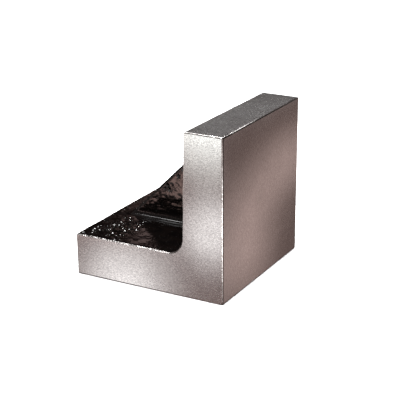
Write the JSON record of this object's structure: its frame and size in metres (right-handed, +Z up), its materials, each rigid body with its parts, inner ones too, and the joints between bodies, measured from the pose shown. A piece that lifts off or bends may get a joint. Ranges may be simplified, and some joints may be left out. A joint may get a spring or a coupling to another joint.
{
  "type": "angle plate",
  "caption": "Ground cast-iron angle plate: a square-cornered L with one central triangular web, for holding work upright on a machine table.",
  "frame": {"origin": "centre of the bounding box, on the plane of the resting face", "axes": "+Z up from the resting face, +X out of the upright's outer face, Y along the width between the two ground ends"},
  "size_m": [0.0762, 0.0762, 0.0762],
  "materials": {
    "cast_iron": "ground on the six outer planes and their broken edges; glossy black enamel over the sand-cast skin on the inner faces and the web"
  },
  "bodies": {
    "root": {"angle_plate": "cast_iron"}
  },
  "joints": []
}
